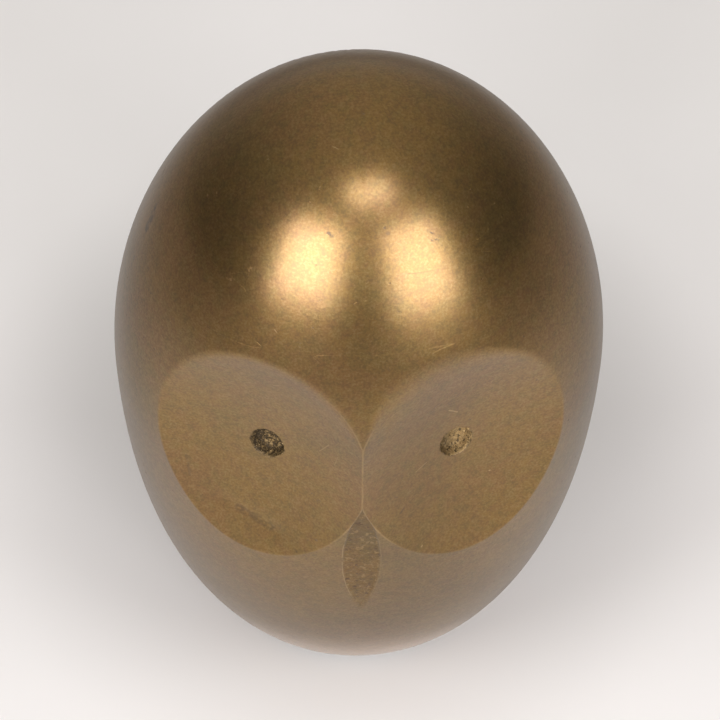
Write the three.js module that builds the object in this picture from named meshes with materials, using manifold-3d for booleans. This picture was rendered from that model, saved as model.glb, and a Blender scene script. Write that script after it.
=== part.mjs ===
// Owl figurine: a hollow bronze casting shaped like an upright egg, with two dished eye faces,
// an as-cast pit in each, a leaf-shaped beak recess, a disc in its core opening and a felt pad.
// Millimetres, +Z up. The owl looks along -Y and its felt stands on the plane z = 0.

import * as THREE from 'three';
import { mergeVertices } from 'three/addons/utils/BufferGeometryUtils.js';
import Module from 'manifold-3d';

// Egg: an upper and a lower half-oval that meet at the belly line, the widest level.
const BELLY_HALF_WIDTH = 30;
const BELLY_HALF_DEPTH = 25.2;
const CROWN_HEIGHT = 46.4;      // belly line to the top of the head
const STAND_HEIGHT = 52;        // belly line down to the flat base
const TAIL_CUT = 9.3;           // length of the lower oval that the flat base cuts off
const CROWN_FULLNESS = 2.0;     // exponent of the upper oval: 2 is an ellipse
const TAIL_FULLNESS = 2.2;      // exponent of the lower oval

// Eye faces: two shallow dishes ground into the front, mirrored about the plane x = 0.
const FACE_TURN = 24.7;         // degrees that a face looks to its own side of straight ahead
const FACE_LIFT = 8.4;          // degrees that it looks above the horizontal
const FACE_CUT = 4.05;          // depth of the dish below the egg's skin, at the dish's middle
const DISH_RADIUS = 60;         // radius of the dish's curve

// Eye pits: round blind holes with a rounded floor, set off from the dish's middle.
const PIT_RADIUS = 2.2;
const PIT_DEPTH = 2.0;
const PIT_FLOOR_RISE = 0.8;     // how much higher the floor's rim is than its middle
const PIT_OUTWARD = 2.3;
const PIT_UPWARD = 3.3;

// Beak: an upright leaf-shaped recess of even depth in the egg's skin.
const BEAK_LENGTH = 24.4;
const BEAK_WIDTH = 4.6;
const BEAK_DEPTH = 0.5;
const BEAK_DROP = 10.9;         // belly line down to the leaf's middle

// Hollow, base disc and felt.
const WALL = 6;
const CORE_HOLE_RADIUS = 7;
const DISC_RADIUS = 10;
const DISC_THICKNESS = 2.5;
const FELT_THICKNESS = 2;
const FELT_MARGIN = 1;          // bare metal left around the felt
const FIT_GAP = 0.3;            // between pieces that touch

// Fineness of the curved surfaces.
const EGG_SIDES = 84;
const CROWN_ROWS = 17;
const TAIL_ROWS = 14;
const HOLLOW_SIDES = 36;
const HOLLOW_ROWS = 7;
const ROUND_SIDES = 48;
const DISH_RINGS = 10;

const BRONZE = { color: 0x97774a, roughness: 0.32, metalness: 1 };
const BRASS = { color: 0xb08d52, roughness: 0.4, metalness: 1 };
const FELT = { color: 0x2f3b2c, roughness: 0.95, metalness: 0 };

const BASE_LEVEL = FELT_THICKNESS + FIT_GAP;
const BELLY_LEVEL = BASE_LEVEL + STAND_HEIGHT;
const OVERCUT = 2;              // how far cutting shapes run past the metal

const wasm = await Module();
wasm.setup();

// ---- three.js geometry to a solid, and back ----

function solidOf(geometry) {
  const bare = geometry.clone();
  bare.deleteAttribute('normal');
  bare.deleteAttribute('uv');
  const merged = mergeVertices(bare, 1e-4);
  const corners = merged.index.array;
  const kept = [];
  for (let i = 0; i < corners.length; i += 3) {
    const [a, b, c] = [corners[i], corners[i + 1], corners[i + 2]];
    if (a !== b && b !== c && c !== a) kept.push(a, b, c);
  }
  return new wasm.Manifold(new wasm.Mesh({
    numProp: 3,
    vertProperties: new Float32Array(merged.attributes.position.array),
    triVerts: new Uint32Array(kept),
  }));
}

function geometryOf(solid) {
  const mesh = solid.getMesh();
  const geometry = new THREE.BufferGeometry();
  geometry.setAttribute('position', new THREE.BufferAttribute(mesh.vertProperties, 3));
  geometry.setIndex(new THREE.BufferAttribute(mesh.triVerts, 1));
  geometry.computeVertexNormals();
  return geometry;
}

// A turned shape about the Z axis, from a profile that starts and ends on the axis.
function turned(profile, sides) {
  return new THREE.LatheGeometry(profile, sides).rotateX(Math.PI / 2);
}

function uprightCylinder(radius, bottom, top) {
  const cylinder = new THREE.CylinderGeometry(radius, radius, top - bottom, ROUND_SIDES);
  return cylinder.rotateX(Math.PI / 2).translate(0, 0, (bottom + top) / 2);
}

// ---- The egg ----

// The egg whose skin lies `inset` inside the outer one.
function eggSizes(inset) {
  return {
    halfWidth: BELLY_HALF_WIDTH - inset,
    halfDepth: BELLY_HALF_DEPTH - inset,
    crown: CROWN_HEIGHT - inset,
    stand: STAND_HEIGHT - inset,
    tail: STAND_HEIGHT + TAIL_CUT - inset,
  };
}

function ovalPoint(width, height, fullness, angle) {
  const x = width * Math.cos(angle) ** (2 / fullness);
  const y = height * Math.sin(angle) ** (2 / fullness);
  return new THREE.Vector2(x, y);
}

// Half the width of the egg's flat base.
function baseHalfWidth({ halfWidth, stand, tail }) {
  return halfWidth * (1 - (stand / tail) ** TAIL_FULLNESS) ** (1 / TAIL_FULLNESS);
}

function eggProfile({ halfWidth, crown, stand, tail }, crownRows, tailRows) {
  const baseAngle = Math.asin((stand / tail) ** (TAIL_FULLNESS / 2));
  const profile = [new THREE.Vector2(0, -stand)];
  for (let row = 0; row <= tailRows; row += 1) {
    const angle = baseAngle * (1 - row / tailRows);
    const point = ovalPoint(halfWidth, tail, TAIL_FULLNESS, angle);
    profile.push(new THREE.Vector2(point.x, -point.y));
  }
  for (let row = 1; row < crownRows; row += 1) {
    const angle = (Math.PI / 2) * (row / crownRows);
    profile.push(ovalPoint(halfWidth, crown, CROWN_FULLNESS, angle));
  }
  profile.push(new THREE.Vector2(0, crown));
  return profile;
}

function eggSolid(inset, sides, crownRows, tailRows) {
  const sizes = eggSizes(inset);
  const egg = turned(eggProfile(sizes, crownRows, tailRows), sides);
  egg.scale(1, sizes.halfDepth / sizes.halfWidth, 1).translate(0, 0, BELLY_LEVEL);
  return solidOf(egg);
}

// Distance from the belly's centre to the outer skin along a direction that doesn't point down.
function skinDistance(direction) {
  const level = Math.hypot(direction.x / BELLY_HALF_WIDTH, direction.y / BELLY_HALF_DEPTH);
  const rise = direction.z / CROWN_HEIGHT;
  return (level ** CROWN_FULLNESS + rise ** CROWN_FULLNESS) ** (-1 / CROWN_FULLNESS);
}

// ---- Eye faces and pits ----

// The place of one eye face: the dish's middle, its outward normal, and the two directions
// along the face, towards the owl's side and upwards. side is -1 or 1, the sign of x.
function eyeFace(side) {
  const turn = THREE.MathUtils.degToRad(FACE_TURN);
  const lift = THREE.MathUtils.degToRad(FACE_LIFT);
  const normal = new THREE.Vector3(
    side * Math.sin(turn) * Math.cos(lift), -Math.cos(turn) * Math.cos(lift), Math.sin(lift),
  );
  const sideways = new THREE.Vector3(side * Math.cos(turn), Math.sin(turn), 0);
  const upward = new THREE.Vector3(
    -side * Math.sin(turn) * Math.sin(lift), Math.cos(turn) * Math.sin(lift), Math.cos(lift),
  );
  const middle = normal.clone().multiplyScalar(skinDistance(normal) - FACE_CUT);
  middle.z += BELLY_LEVEL;
  return { middle, normal, sideways, upward };
}

// Turns a shape made about +Z so that it stands along the normal at a point.
function aimed(geometry, point, normal) {
  const turn = new THREE.Quaternion().setFromUnitVectors(new THREE.Vector3(0, 0, 1), normal);
  return geometry.applyQuaternion(turn).translate(point.x, point.y, point.z);
}

// The domed wheel that grinds a dish, its lowest point `inset` further in than the dish.
function dishCutter(face, inset) {
  const reach = BELLY_HALF_WIDTH;
  const rimAngle = Math.asin(reach / DISH_RADIUS);
  const profile = [];
  for (let ring = 0; ring <= DISH_RINGS; ring += 1) {
    const angle = rimAngle * (ring / DISH_RINGS);
    const rise = DISH_RADIUS * (1 - Math.cos(angle));
    profile.push(new THREE.Vector2(DISH_RADIUS * Math.sin(angle), rise));
  }
  profile.push(new THREE.Vector2(reach, reach), new THREE.Vector2(0, reach));
  const point = face.middle.clone().addScaledVector(face.normal, -inset);
  return solidOf(aimed(turned(profile, ROUND_SIDES), point, face.normal));
}

function pitCutter(face) {
  const floorSteps = 4;
  const profile = [];
  for (let step = 0; step <= floorSteps; step += 1) {
    const angle = (Math.PI / 2) * (step / floorSteps);
    const height = PIT_FLOOR_RISE * (1 - Math.cos(angle)) - PIT_DEPTH;
    profile.push(new THREE.Vector2(PIT_RADIUS * Math.sin(angle), height));
  }
  profile.push(new THREE.Vector2(PIT_RADIUS, OVERCUT), new THREE.Vector2(0, OVERCUT));
  const point = face.middle.clone();
  point.addScaledVector(face.sideways, PIT_OUTWARD).addScaledVector(face.upward, PIT_UPWARD);
  return solidOf(aimed(turned(profile, ROUND_SIDES / 2), point, face.normal));
}

// ---- Beak ----

// A leaf: two equal arcs between an upper and a lower tip.
function leafShape() {
  const halfLength = BEAK_LENGTH / 2;
  const halfWidth = BEAK_WIDTH / 2;
  const radius = (halfLength ** 2 + halfWidth ** 2) / (2 * halfWidth);
  const halfAngle = Math.asin(halfLength / radius);
  const offset = radius - halfWidth;
  const leaf = new THREE.Shape();
  leaf.absarc(-offset, 0, radius, -halfAngle, halfAngle, false);
  leaf.absarc(offset, 0, radius, Math.PI - halfAngle, Math.PI + halfAngle, false);
  return leaf;
}

// The leaf driven back through the front skin, down to an egg that lies BEAK_DEPTH inside it.
function beakCutter() {
  const length = BELLY_HALF_DEPTH;
  const bar = new THREE.ExtrudeGeometry(leafShape(), {
    depth: length, bevelEnabled: false, curveSegments: 12,
  });
  bar.rotateX(Math.PI / 2).translate(0, -OVERCUT, BELLY_LEVEL - BEAK_DROP);
  return solidOf(bar).subtract(eggSolid(BEAK_DEPTH, EGG_SIDES, CROWN_ROWS, TAIL_ROWS));
}

// ---- Pieces ----

function hollow(faces) {
  let room = eggSolid(WALL, HOLLOW_SIDES, HOLLOW_ROWS, HOLLOW_ROWS);
  for (const face of faces) room = room.subtract(dishCutter(face, WALL));
  return room;
}

function coreOpening() {
  const hole = uprightCylinder(CORE_HOLE_RADIUS, BASE_LEVEL - OVERCUT, BASE_LEVEL + WALL + OVERCUT);
  const seatTop = BASE_LEVEL + DISC_THICKNESS + FIT_GAP;
  const seat = uprightCylinder(DISC_RADIUS + FIT_GAP, BASE_LEVEL - OVERCUT, seatTop);
  return solidOf(hole).add(solidOf(seat));
}

function bodyCasting() {
  const faces = [eyeFace(-1), eyeFace(1)];
  let body = eggSolid(0, EGG_SIDES, CROWN_ROWS, TAIL_ROWS);
  for (const face of faces) {
    body = body.subtract(dishCutter(face, 0)).subtract(pitCutter(face));
  }
  body = body.subtract(beakCutter()).subtract(hollow(faces)).subtract(coreOpening());
  return geometryOf(body);
}

function baseDisc() {
  return uprightCylinder(DISC_RADIUS, BASE_LEVEL, BASE_LEVEL + DISC_THICKNESS);
}

function feltPad() {
  const halfWidth = baseHalfWidth(eggSizes(0)) - FELT_MARGIN;
  const halfDepth = halfWidth * (BELLY_HALF_DEPTH / BELLY_HALF_WIDTH);
  const pad = uprightCylinder(1, 0, FELT_THICKNESS);
  return pad.scale(halfWidth, halfDepth, 1);
}

function piece(name, geometry, finish) {
  const mesh = new THREE.Mesh(geometry, new THREE.MeshStandardMaterial(finish));
  mesh.name = name;
  return mesh;
}

const owl = new THREE.Group();
owl.name = 'owl_figurine';
owl.add(piece('body_casting', bodyCasting(), BRONZE));
owl.add(piece('base_disc', baseDisc(), BRASS));
owl.add(piece('felt_pad', feltPad(), FELT));

export default owl;
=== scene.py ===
"""Looks for the owl figurine: an egg-shaped bronze casting with two dished eye faces.

Units are metres, +Z is up and the owl looks along -Y. Face coordinates run from the middle of
an eye face, "outward" to the owl's own side and "upward" along the face.
"""

import math

import bpy
from mathutils import Euler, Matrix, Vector


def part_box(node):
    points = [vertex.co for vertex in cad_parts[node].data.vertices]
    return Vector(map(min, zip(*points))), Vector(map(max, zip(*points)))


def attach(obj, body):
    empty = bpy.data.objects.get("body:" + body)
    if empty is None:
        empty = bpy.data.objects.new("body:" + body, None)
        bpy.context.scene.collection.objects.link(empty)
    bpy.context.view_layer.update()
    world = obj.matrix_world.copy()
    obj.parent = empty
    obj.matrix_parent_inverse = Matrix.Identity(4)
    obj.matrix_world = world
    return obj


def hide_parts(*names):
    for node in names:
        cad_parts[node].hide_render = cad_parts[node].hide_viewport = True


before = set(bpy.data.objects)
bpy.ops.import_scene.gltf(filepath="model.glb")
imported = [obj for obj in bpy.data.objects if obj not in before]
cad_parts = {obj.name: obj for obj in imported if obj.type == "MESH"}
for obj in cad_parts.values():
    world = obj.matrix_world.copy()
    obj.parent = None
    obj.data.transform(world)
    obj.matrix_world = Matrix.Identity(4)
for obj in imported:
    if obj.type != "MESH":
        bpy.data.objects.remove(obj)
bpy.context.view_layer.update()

MM = 0.001

# ---- The egg, read from the casting's box ----

CAST_LOW, CAST_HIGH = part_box("body_casting")
HALF_WIDTH = (CAST_HIGH.x - CAST_LOW.x) / 2
HALF_DEPTH = CAST_HIGH.y
CROWN_HEIGHT = 46.4 * MM
BELLY_LEVEL = CAST_HIGH.z - CROWN_HEIGHT
STAND_HEIGHT = BELLY_LEVEL - CAST_LOW.z
TAIL_CUT = 9.3 * MM
CROWN_FULLNESS = 2.0
TAIL_FULLNESS = 2.2

# ---- Eye faces, pits and beak ----

FACE_TURN = math.radians(24.7)
FACE_LIFT = math.radians(8.4)
FACE_DISTANCE = 22.01 * MM      # belly centre to the dish's middle
DISH_RADIUS = 60 * MM
PIT_RADIUS = 2.05 * MM
PIT_DEPTH = 1.5 * MM
PIT_OUTWARD = 2.3 * MM
PIT_UPWARD = 3.3 * MM
BEAK_LENGTH = 26.4 * MM
BEAK_WIDTH = 4.7 * MM
BEAK_DEPTH = 0.18 * MM
BEAK_DROP = 9.9 * MM

# ---- Mesh fineness ----

ROUND_STEPS = 296               # columns round each eye pit
PIT_ROWS = 32                   # rows of the fan, from the pit's middle outwards
FACE_ROWS = 50
OUTER_ROWS = 77
RIM_HALVINGS = 14               # steps of the search for a face's rim
BEAK_WAY = math.radians(-120)   # round the pit, where the columns crowd towards the beak
BEAK_CROWDING = 0.45
PIT_FAN_REACH = 1.3             # the innermost fan's radius, in pit radii
WELD_DISTANCE = 0.004 * MM

# ---- Where a face's rim turns soft, from the belly's centre ----

CRISP_BELOW = 4 * MM            # heights between which the rim goes from crisp to soft
SOFT_ABOVE = 24 * MM
RIDGE_WEAR_FULL = 1.5 * MM      # distances from the middle plane between which wear fades
RIDGE_WEAR_LEAST = 5.5 * MM
RIM_WEAR_WIDTH = 0.15 * MM
RIM_WEAR_CORE = 0.03 * MM
BROW_START, BROW_FULL = 0.2 * MM, 3.0 * MM      # the blurred brow, outwards from the ridge
BROW_FADES, BROW_END = 8 * MM, 17 * MM
BROW_FOOT, BROW_TOP = 2 * MM, 6 * MM            # and upwards


# ---- Arithmetic on node sockets ----

class Field:
    """A number in a node tree. Arithmetic on it adds Math nodes."""

    def __init__(self, tree, socket):
        self.tree = tree
        self.socket = socket

    def math(self, operation, *others):
        node = self.tree.nodes.new("ShaderNodeMath")
        node.operation = operation
        for port, value in zip(node.inputs, (self, *others)):
            plug(self.tree, value, port)
        return Field(self.tree, node.outputs[0])

    def __add__(self, other):
        return self.math("ADD", other)

    def __sub__(self, other):
        return self.math("SUBTRACT", other)

    def __mul__(self, other):
        return self.math("MULTIPLY", other)

    def __truediv__(self, other):
        return self.math("DIVIDE", other)

    def __pow__(self, other):
        return self.math("POWER", other)

    def __neg__(self):
        return self * -1.0

    def __rsub__(self, other):
        return (-self) + other

    def __rtruediv__(self, other):
        return (self ** -1.0) * other

    __radd__ = __add__      # so that a plain number may come first
    __rmul__ = __mul__

    def absolute(self):
        return self.math("ABSOLUTE")

    def root(self):
        return self.at_least(0.0).math("SQRT")

    def sine(self):
        return self.math("SINE")

    def cosine(self):
        return self.math("COSINE")

    def at_least(self, other):
        return self.math("MAXIMUM", other)

    def at_most(self, other):
        return self.math("MINIMUM", other)

    def soft_least(self, other, width):
        return self.math("SMOOTH_MIN", other, width)

    def above(self, other):
        return self.math("GREATER_THAN", other)

    def below(self, other):
        return self.math("LESS_THAN", other)

    def rise(self, start, end):
        """0 at start, 1 at end, with an S-curve between them."""
        node = self.tree.nodes.new("ShaderNodeMapRange")
        node.interpolation_type = "SMOOTHSTEP"
        for label, value in (("Value", self), ("From Min", start), ("From Max", end)):
            plug(self.tree, value, node.inputs[label])
        return Field(self.tree, node.outputs[0])


def plug(tree, value, port):
    if isinstance(value, Field):
        value = value.socket
    if isinstance(value, bpy.types.NodeSocket):
        tree.links.new(value, port)
    else:
        port.default_value = value


def add(tree, kind, inputs=None, **settings):
    """Adds a node, sets its options, then plugs values into its named inputs."""
    node = tree.nodes.new(kind)
    for option, value in settings.items():
        setattr(node, option, value)
    for label, value in (inputs or {}).items():
        plug(tree, value, node.inputs[label])
    return node


def split(tree, vector):
    parts = add(tree, "ShaderNodeSeparateXYZ", {0: vector}).outputs
    return [Field(tree, part) for part in parts]


def join(tree, x, y, z):
    node = tree.nodes.new("ShaderNodeCombineXYZ")
    for port, value in zip(node.inputs, (x, y, z)):
        plug(tree, value, port)
    return node.outputs[0]


def dot(a, b):
    return a[0] * b[0] + a[1] * b[1] + a[2] * b[2]


def length(a):
    return dot(a, a).root()


def unit(a):
    size = length(a)
    return [part / size for part in a]


def cross(a, b):
    return [a[1] * b[2] - a[2] * b[1], a[2] * b[0] - a[0] * b[2], a[0] * b[1] - a[1] * b[0]]


def pick(flag, when_one, when_zero):
    return flag * when_one + (1.0 - flag) * when_zero


def noise(tree, vector, scale, detail=2.0, roughness=0.5):
    """Cloudy noise around 0.5, as a field."""
    inputs = {"Vector": vector, "Scale": scale, "Detail": detail, "Roughness": roughness}
    return Field(tree, add(tree, "ShaderNodeTexNoise", inputs).outputs[0])


# ---- Geometry node trees ----

def new_tree(name, inputs, takes=()):
    """A geometry tree with named number inputs. Returns it with a field for each input."""
    tree = bpy.data.node_groups.new(name, "GeometryNodeTree")
    tree.interface.new_socket(name="Mesh", in_out="OUTPUT", socket_type="NodeSocketGeometry")
    for label, kind in takes:
        tree.interface.new_socket(name=label, in_out="INPUT", socket_type=kind)
    for label in inputs:
        tree.interface.new_socket(name=label, in_out="INPUT", socket_type="NodeSocketFloat")
    given = tree.nodes.new("NodeGroupInput")
    fields = {label: Field(tree, given.outputs[label]) for label in inputs}
    for label, _ in takes:
        fields[label] = given.outputs[label]
    return tree, fields


def end_tree(tree, geometry):
    whole = add(tree, "GeometryNodeRealizeInstances", {"Geometry": geometry})
    out = tree.nodes.new("NodeGroupOutput")
    tree.links.new(whole.outputs[0], out.inputs[0])


def grow(name, tree, values, material):
    """Runs a geometry tree with its named inputs and keeps the result as a plain mesh."""
    piece = bpy.data.objects.new(name, bpy.data.meshes.new(name))
    bpy.context.scene.collection.objects.link(piece)
    modifier = piece.modifiers.new(name, "NODES")
    modifier.node_group = tree
    for item in tree.interface.items_tree:
        if item.in_out == "INPUT" and item.name in values:
            modifier[item.identifier] = values[item.name]
    graph = bpy.context.evaluated_depsgraph_get()
    mesh = bpy.data.meshes.new_from_object(piece.evaluated_get(graph), depsgraph=graph)
    piece.modifiers.remove(modifier)
    piece.data = mesh
    mesh.name = name
    if not mesh.materials:
        mesh.materials.append(material)
    return piece


def moved(tree, geometry, offset):
    return add(tree, "GeometryNodeSetPosition", {"Geometry": geometry, "Offset": offset}).outputs[0]


def marked(tree, geometry, name, value):
    """Stores a field on the mesh's points under a name that materials read."""
    inputs = {"Geometry": geometry, "Name": name, "Value": value}
    node = add(tree, "GeometryNodeStoreNamedAttribute", inputs, data_type="FLOAT", domain="POINT")
    return node.outputs[0]


def place_of_point(tree):
    return add(tree, "GeometryNodeInputPosition").outputs[0]


# ---- The casting ----

EGG_SIZES = {
    "Half Width": HALF_WIDTH,
    "Half Depth": HALF_DEPTH,
    "Crown Height": CROWN_HEIGHT,
    "Stand Height": STAND_HEIGHT,
    "Tail Cut": TAIL_CUT,
    "Crown Fullness": CROWN_FULLNESS,
    "Tail Fullness": TAIL_FULLNESS,
    "Foot Rounding": 1.8 * MM,
    "Seat Depth": 2.8 * MM,
    "Seat Radius": 11.4 * MM,
    "Belly Level": BELLY_LEVEL,
    "Face Turn": FACE_TURN,
    "Face Lift": FACE_LIFT,
    "Face Distance": FACE_DISTANCE,
    "Dish Radius": DISH_RADIUS,
    "Crisp Rim": 0.10 * MM,
    "Soft Rim": 1.1 * MM,
    "Blurred Brow": 2.6 * MM,
    "Pit Radius": PIT_RADIUS,
    "Pit Height": 1.16,
    "Pit Depth": PIT_DEPTH,
    "Pit Floor Rise": 0.5 * MM,
    "Pit Outward": PIT_OUTWARD,
    "Pit Upward": PIT_UPWARD,
    "Beak Length": BEAK_LENGTH,
    "Beak Width": BEAK_WIDTH,
    "Beak Depth": BEAK_DEPTH,
    "Beak Drop": BEAK_DROP,
    "Cast Grain": 0.16 * MM,
}


def half_oval(level, climb, fullness):
    """Distance to an oval's skin along a direction with the given level and upright shares."""
    return (level ** fullness + climb.absolute() ** fullness) ** (-1.0 / fullness)


def egg_distance(toward, sizes):
    x, y, z = toward
    across = x / sizes["Half Width"]
    along = y / sizes["Half Depth"]
    level = (across * across + along * along).root()
    tail = sizes["Stand Height"] + sizes["Tail Cut"]
    upper = half_oval(level, z / sizes["Crown Height"], sizes["Crown Fullness"])
    lower = half_oval(level, z / tail, sizes["Tail Fullness"])
    skin = pick(z.above(0.0), upper, lower)
    downward = (-z).at_least(0.001)
    skin = skin.soft_least(sizes["Stand Height"] / downward, sizes["Foot Rounding"])
    seat = (sizes["Stand Height"] - sizes["Seat Depth"]) / downward
    in_seat = ((x * x + y * y).root() * seat).below(sizes["Seat Radius"])
    return pick(in_seat, skin.at_most(seat), skin)


def face_frame(sizes, side):
    """Normal, outward and upward directions of one eye face. side is -1 or 1, the sign of x."""
    turn_sine, turn_cosine = sizes["Face Turn"].sine(), sizes["Face Turn"].cosine()
    lift_sine, lift_cosine = sizes["Face Lift"].sine(), sizes["Face Lift"].cosine()
    normal = [turn_sine * lift_cosine * side, -(turn_cosine * lift_cosine), lift_sine]
    outward = [turn_cosine * side, turn_sine, turn_sine * 0.0]
    upward = [turn_sine * lift_sine * -side, turn_cosine * lift_sine, lift_cosine]
    return normal, outward, upward


def dish_distance(toward, normal, sizes):
    """Distance along a direction to the ground dish; a metre more where it misses the dish."""
    wheel = sizes["Face Distance"] + sizes["Dish Radius"]
    nearest = dot(toward, normal) * wheel
    within = nearest * nearest - (wheel * wheel - sizes["Dish Radius"] ** 2.0)
    missed = within.below(0.0).at_least(nearest.below(0.0))
    return nearest - within.root() + missed


def drawn_to_foot(toward, sizes):
    """Draws directions towards the edge of the flat foot, so that this edge comes out even."""
    x, y, z = toward
    across, along = x / sizes["Half Width"], y / sizes["Half Depth"]
    fullness = sizes["Tail Fullness"]
    tail = sizes["Stand Height"] + sizes["Tail Cut"]
    edge = (1.0 - (sizes["Stand Height"] / tail) ** fullness) ** (1.0 / fullness)
    level = (across * across + along * along).root() / (-z).at_least(0.001)
    share = (level * sizes["Stand Height"] / edge).at_least(0.01)
    beyond = share - 1.0
    near = beyond.absolute().rise(0.35, 0.0)
    stretch = (1.0 + beyond * (1.0 - near * 0.8)) / share
    return unit([x * stretch, y * stretch, z])


def crowded(share, strength):
    """A share from 0 to 1 whose steps are finest at the start."""
    return share * (1 - strength) + share ** 3.0 * strength


def pit_pole(sizes):
    """Unit direction of the +X eye pit from the belly's centre, and two directions across it."""
    normal, outward, upward = face_frame(sizes, 1)
    pit = [n * sizes["Face Distance"] + o * sizes["Pit Outward"] + u * sizes["Pit Upward"]
           for n, o, u in zip(normal, outward, upward)]
    pole = unit(pit)
    level = (pole[0] * pole[0] + pole[1] * pole[1]).root()
    across = [-(pole[1] / level), pole[0] / level, pole[2] * 0.0]
    return pole, across, cross(pole, across), length(pit)


def find_rim(tree, fan, farthest, look, normal, sizes):
    """Marks each column's angle from the pit to the face's rim as "rim", found by halving.

    On the ridge, where the face runs on to the plane x = 0, the rim is that plane.
    """
    fan = marked(tree, fan, "rim_low", 0.0)
    fan = marked(tree, fan, "rim", farthest)
    start = tree.nodes.new("GeometryNodeRepeatInput")
    end = tree.nodes.new("GeometryNodeRepeatOutput")
    start.pair_with_output(end)
    end.repeat_items.clear()
    end.repeat_items.new("GEOMETRY", "Fan")
    start.inputs["Iterations"].default_value = RIM_HALVINGS
    tree.links.new(fan, start.inputs["Fan"])
    low, high = Field(tree, named(tree, "rim_low")), Field(tree, named(tree, "rim"))
    middle = (low + high) * 0.5
    toward = look(middle)
    in_face = dish_distance(toward, normal, sizes).below(egg_distance(toward, sizes))
    fan = marked(tree, start.outputs["Fan"], "in_face", in_face)
    in_face = Field(tree, named(tree, "in_face"))
    fan = marked(tree, fan, "rim_middle", middle)
    middle = Field(tree, named(tree, "rim_middle"))
    fan = marked(tree, fan, "rim_low", pick(in_face, middle, low))
    fan = marked(tree, fan, "rim", pick(in_face, high, middle))
    tree.links.new(fan, end.inputs["Fan"])
    return end.outputs["Fan"], Field(tree, named(tree, "rim"))


def half_casting(tree, sizes, side):
    """One half of the ground egg, as a fan round its eye pit.

    One row of the fan follows the face's rim and the last one lies in the plane x = 0, so the
    rim and the ridge between the faces come out crisp and the two halves meet point to point.
    """
    rows = PIT_ROWS + FACE_ROWS + OUTER_ROWS
    ball = add(tree, "GeometryNodeMeshUVSphere",
               {"Segments": ROUND_STEPS, "Rings": rows + 1, "Radius": 1.0}).outputs[0]
    x, y, z = split(tree, place_of_point(tree))
    row = z.at_most(1.0).at_least(-1.0).math("ARCCOSINE") * ((rows + 1) / math.pi)
    fan = add(tree, "GeometryNodeDeleteGeometry", {
        "Geometry": ball, "Selection": row.above(rows + 0.5)}).outputs[0]

    column = y.math("ARCTAN2", x) * side
    column = column - (column - BEAK_WAY).sine() * BEAK_CROWDING
    pole, across, over, pit_distance = pit_pole(sizes)
    sideways = [a * column.cosine() + b * column.sine() for a, b in zip(across, over)]

    def look(angle):
        return [p * angle.cosine() + t * angle.sine() for p, t in zip(pole, sideways)]

    normal = face_frame(sizes, 1)[0]
    farthest = pole[0].math("ARCTAN2", -sideways[0])
    fan, rim = find_rim(tree, fan, farthest, look, normal, sizes)
    pit_edge = sizes["Pit Radius"] * PIT_FAN_REACH / pit_distance
    in_pit = (row / PIT_ROWS).at_most(1.0)
    in_face = ((row - PIT_ROWS) / FACE_ROWS).at_least(0.0).at_most(1.0)
    outside = ((row - PIT_ROWS - FACE_ROWS) / OUTER_ROWS).at_least(0.0)
    angle = pit_edge * in_pit + (rim - pit_edge) * (1.0 - crowded(1.0 - in_face, 0.7))
    angle = angle + (farthest - rim) * crowded(outside, 0.8)

    toward = drawn_to_foot(look(angle), sizes)
    skin = egg_distance(toward, sizes)
    ground = dish_distance(toward, normal, sizes)
    softness = (toward[2] * skin).rise(CRISP_BELOW, SOFT_ABOVE)
    rim_width = softness * (sizes["Soft Rim"] - sizes["Crisp Rim"]) + sizes["Crisp Rim"]
    beside = toward[0] * skin
    brow = beside.rise(BROW_START, BROW_FULL) * beside.rise(BROW_END, BROW_FADES)
    on_this_side = 1.0 if side > 0 else 0.0     # only the face towards +X has it
    brow = brow * (toward[2] * skin).rise(BROW_FOOT, BROW_TOP) * on_this_side
    rim_width = rim_width + brow * sizes["Blurred Brow"]
    distance = skin.soft_least(ground, rim_width)
    from_rim = (angle - rim).absolute() * distance
    near_ridge = (toward[0] * distance).rise(RIDGE_WEAR_LEAST, RIDGE_WEAR_FULL) * 0.9 + 0.1
    worn = from_rim.rise(RIM_WEAR_WIDTH, RIM_WEAR_CORE) * (1.0 - softness * 0.7) * near_ridge
    worn = worn * (1.0 - brow)
    mesh = marked(tree, fan, "worn_edge", worn)
    mesh = marked(tree, mesh, "eye_face", (skin - ground).rise(-0.05 * MM, 0.05 * MM))
    x, y, z = [part * distance for part in toward]
    spot = join(tree, x * side, y, z + sizes["Belly Level"])
    placed = add(tree, "GeometryNodeSetPosition", {"Geometry": mesh, "Position": spot})
    return placed.outputs[0]


def ground_egg(tree, sizes):
    """The whole egg with both dishes ground in."""
    both = add(tree, "GeometryNodeJoinGeometry")
    for side in (1, -1):
        tree.links.new(half_casting(tree, sizes, side), both.inputs[0])
    welded = add(tree, "GeometryNodeMergeByDistance", {
        "Geometry": both.outputs[0], "Distance": WELD_DISTANCE})
    return welded.outputs[0]


def from_face_middle(tree, sizes, normal):
    x, y, z = split(tree, place_of_point(tree))
    centre = [part * sizes["Face Distance"] for part in normal]
    return [x - centre[0], y - centre[1], z - sizes["Belly Level"] - centre[2]]


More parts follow.
